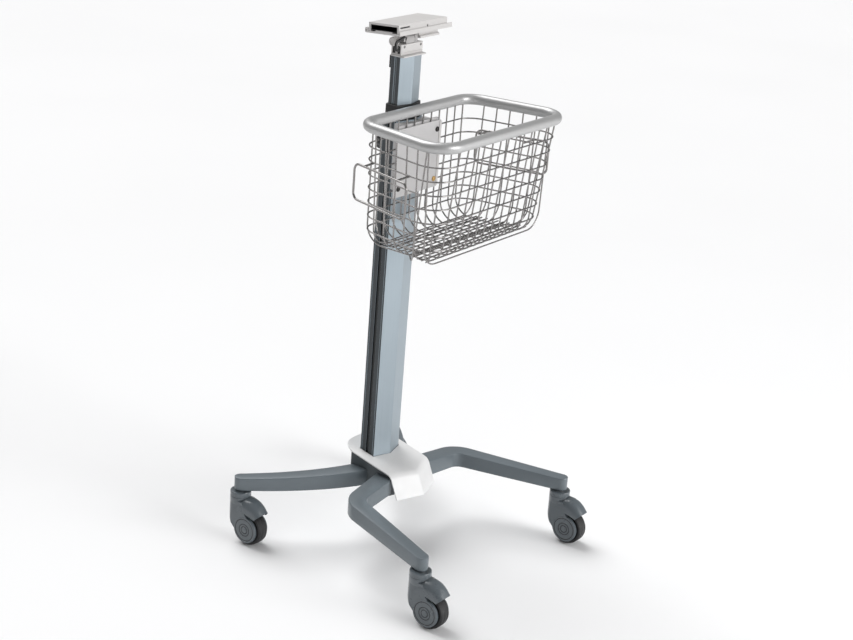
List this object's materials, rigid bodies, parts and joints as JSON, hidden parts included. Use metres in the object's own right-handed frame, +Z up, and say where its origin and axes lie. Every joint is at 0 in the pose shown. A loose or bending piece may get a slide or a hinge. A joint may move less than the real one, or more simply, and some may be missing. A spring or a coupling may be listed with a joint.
{
  "type": "patient monitor roll stand",
  "caption": "Height-adjustable roll stand for a patient monitor: spider base on braked casters, telescoping column, hanging wire basket and a tilting slide-in mounting head",
  "frame": {"origin": "centre of the footprint, on the floor", "axes": "+Z up, the stand's front and its basket face -Y, +X is the right-hand side seen from behind the basket looking along +Y"},
  "size_m": [0.5578, 0.5871, 1.1431],
  "materials": {
    "leg_paint": "semi-gloss",
    "cover_plastic": "satin",
    "column_anodised": "anodised",
    "black_plastic": "matt",
    "bright_steel": "bright",
    "head_paint": "satin",
    "grey_casting": "satin",
    "chrome_wire": "polished",
    "plate_paint": "matt",
    "rim_silver": "satin",
    "fork_plastic": "satin",
    "wheel_plastic": "satin",
    "tyre_rubber": "matt",
    "pedal_plastic": "satin"
  },
  "bodies": {
    "base": {"hub_casting": "leg_paint", "front_leg_left": "leg_paint", "front_leg_right": "leg_paint", "rear_leg_left": "leg_paint", "rear_leg_right": "leg_paint", "base_cover": "cover_plastic", "outer_column": "column_anodised", "column_bush": "black_plastic", "gas_spring_cylinder": "black_plastic", "basket": "chrome_wire", "basket_rim": "rim_silver", "basket_plate": "plate_paint", "basket_bracket": "plate_paint", "plate_screw_1": "bright_steel", "plate_screw_2": "bright_steel", "plate_screw_3": "bright_steel", "plate_screw_4": "bright_steel", "cord_loop_left": "chrome_wire", "cord_loop_right": "chrome_wire", "caster_stem_front_left": "bright_steel", "caster_stem_front_right": "bright_steel", "caster_stem_rear_left": "bright_steel", "caster_stem_rear_right": "bright_steel"},
    "mast": {"mast_tube": "column_anodised", "mast_glide": "black_plastic", "mast_plug": "black_plastic", "gas_spring_rod": "bright_steel", "mast_flange": "head_paint", "cable_clip": "black_plastic"},
    "head_swivel": {"swivel_block": "head_paint", "tilt_yoke": "grey_casting"},
    "seat": {"tilt_cradle": "grey_casting", "tilt_pin": "bright_steel", "under_rail": "head_paint", "seat_base": "head_paint", "slide_channel": "head_paint"},
    "tilt_knob": {"tilt_knob": "grey_casting"},
    "release_lever": {"release_lever": "black_plastic"},
    "lock_knob": {"lock_knob": "black_plastic"},
    "caster_front_left": {"caster_fork_front_left": "fork_plastic", "caster_axle_front_left": "bright_steel"},
    "wheel_front_left": {"caster_wheel_front_left": "wheel_plastic", "caster_tyre_front_left": "tyre_rubber"},
    "pedal_front_left": {"caster_pedal_front_left": "pedal_plastic"},
    "caster_front_right": {"caster_fork_front_right": "fork_plastic", "caster_axle_front_right": "bright_steel"},
    "wheel_front_right": {"caster_wheel_front_right": "wheel_plastic", "caster_tyre_front_right": "tyre_rubber"},
    "pedal_front_right": {"caster_pedal_front_right": "pedal_plastic"},
    "caster_rear_left": {"caster_fork_rear_left": "fork_plastic", "caster_axle_rear_left": "bright_steel"},
    "wheel_rear_left": {"caster_wheel_rear_left": "wheel_plastic", "caster_tyre_rear_left": "tyre_rubber"},
    "pedal_rear_left": {"caster_pedal_rear_left": "pedal_plastic"},
    "caster_rear_right": {"caster_fork_rear_right": "fork_plastic", "caster_axle_rear_right": "bright_steel"},
    "wheel_rear_right": {"caster_wheel_rear_right": "wheel_plastic", "caster_tyre_rear_right": "tyre_rubber"},
    "pedal_rear_right": {"caster_pedal_rear_right": "pedal_plastic"}
  },
  "joints": [
    {"name": "mast_lift", "type": "slide", "parent": "base", "child": "mast", "axis": [0, 0, 1], "range_m": [-0.07, 0.22]},
    {"name": "lock_turn", "type": "hinge", "parent": "base", "child": "lock_knob", "pos_m": [0, 0.0916, 0.88], "axis": [0, 1, 0], "range_deg": [-180, 0]},
    {"name": "head_turn", "type": "hinge", "parent": "mast", "child": "head_swivel", "pos_m": [0, 0.0916, 1.0731], "axis": [0, 0, 1], "range_deg": [-45, 45]},
    {"name": "head_tilt", "type": "hinge", "parent": "head_swivel", "child": "seat", "pos_m": [0, 0.0916, 1.102], "axis": [1, 0, 0], "range_deg": [-15, 15]},
    {"name": "tilt_lock_turn", "type": "hinge", "parent": "seat", "child": "tilt_knob", "pos_m": [0, 0.0916, 1.102], "axis": [-1, 0, 0], "range_deg": [-180, 0]},
    {"name": "release_press", "type": "hinge", "parent": "seat", "child": "release_lever", "pos_m": [-0.028, 0.09231, 1.11147], "axis": [0, 0.9972, -0.075], "range_deg": [0, 18], "stiffness_Nm_per_rad": 0.05},
    {"name": "swivel_front_left", "type": "hinge", "parent": "base", "child": "caster_front_left", "pos_m": [-0.2563, -0.2244, 0.1166], "axis": [0, 0, 1], "continuous": true},
    {"name": "spin_front_left", "type": "hinge", "parent": "caster_front_left", "child": "wheel_front_left", "pos_m": [-0.2563, -0.2564, 0.0375], "axis": [1, 0, 0], "continuous": true},
    {"name": "brake_front_left", "type": "hinge", "parent": "caster_front_left", "child": "pedal_front_left", "pos_m": [-0.2563, -0.2524, 0.084], "axis": [1, 0, 0], "range_deg": [0, 8]},
    {"name": "swivel_front_right", "type": "hinge", "parent": "base", "child": "caster_front_right", "pos_m": [0.2563, -0.2244, 0.1166], "axis": [0, 0, 1], "continuous": true},
    {"name": "spin_front_right", "type": "hinge", "parent": "caster_front_right", "child": "wheel_front_right", "pos_m": [0.2563, -0.2564, 0.0375], "axis": [1, 0, 0], "continuous": true},
    {"name": "brake_front_right", "type": "hinge", "parent": "caster_front_right", "child": "pedal_front_right", "pos_m": [0.2563, -0.2524, 0.084], "axis": [1, 0, 0], "range_deg": [0, 8]},
    {"name": "swivel_rear_left", "type": "hinge", "parent": "base", "child": "caster_rear_left", "pos_m": [-0.2471, 0.2706, 0.1166], "axis": [0, 0, 1], "continuous": true},
    {"name": "spin_rear_left", "type": "hinge", "parent": "caster_rear_left", "child": "wheel_rear_left", "pos_m": [-0.2471, 0.2386, 0.0375], "axis": [1, 0, 0], "continuous": true},
    {"name": "brake_rear_left", "type": "hinge", "parent": "caster_rear_left", "child": "pedal_rear_left", "pos_m": [-0.2471, 0.2426, 0.084], "axis": [1, 0, 0], "range_deg": [0, 8]},
    {"name": "swivel_rear_right", "type": "hinge", "parent": "base", "child": "caster_rear_right", "pos_m": [0.2471, 0.2706, 0.1166], "axis": [0, 0, 1], "continuous": true},
    {"name": "spin_rear_right", "type": "hinge", "parent": "caster_rear_right", "child": "wheel_rear_right", "pos_m": [0.2471, 0.2386, 0.0375], "axis": [1, 0, 0], "continuous": true},
    {"name": "brake_rear_right", "type": "hinge", "parent": "caster_rear_right", "child": "pedal_rear_right", "pos_m": [0.2471, 0.2426, 0.084], "axis": [1, 0, 0], "range_deg": [0, 8]}
  ]
}
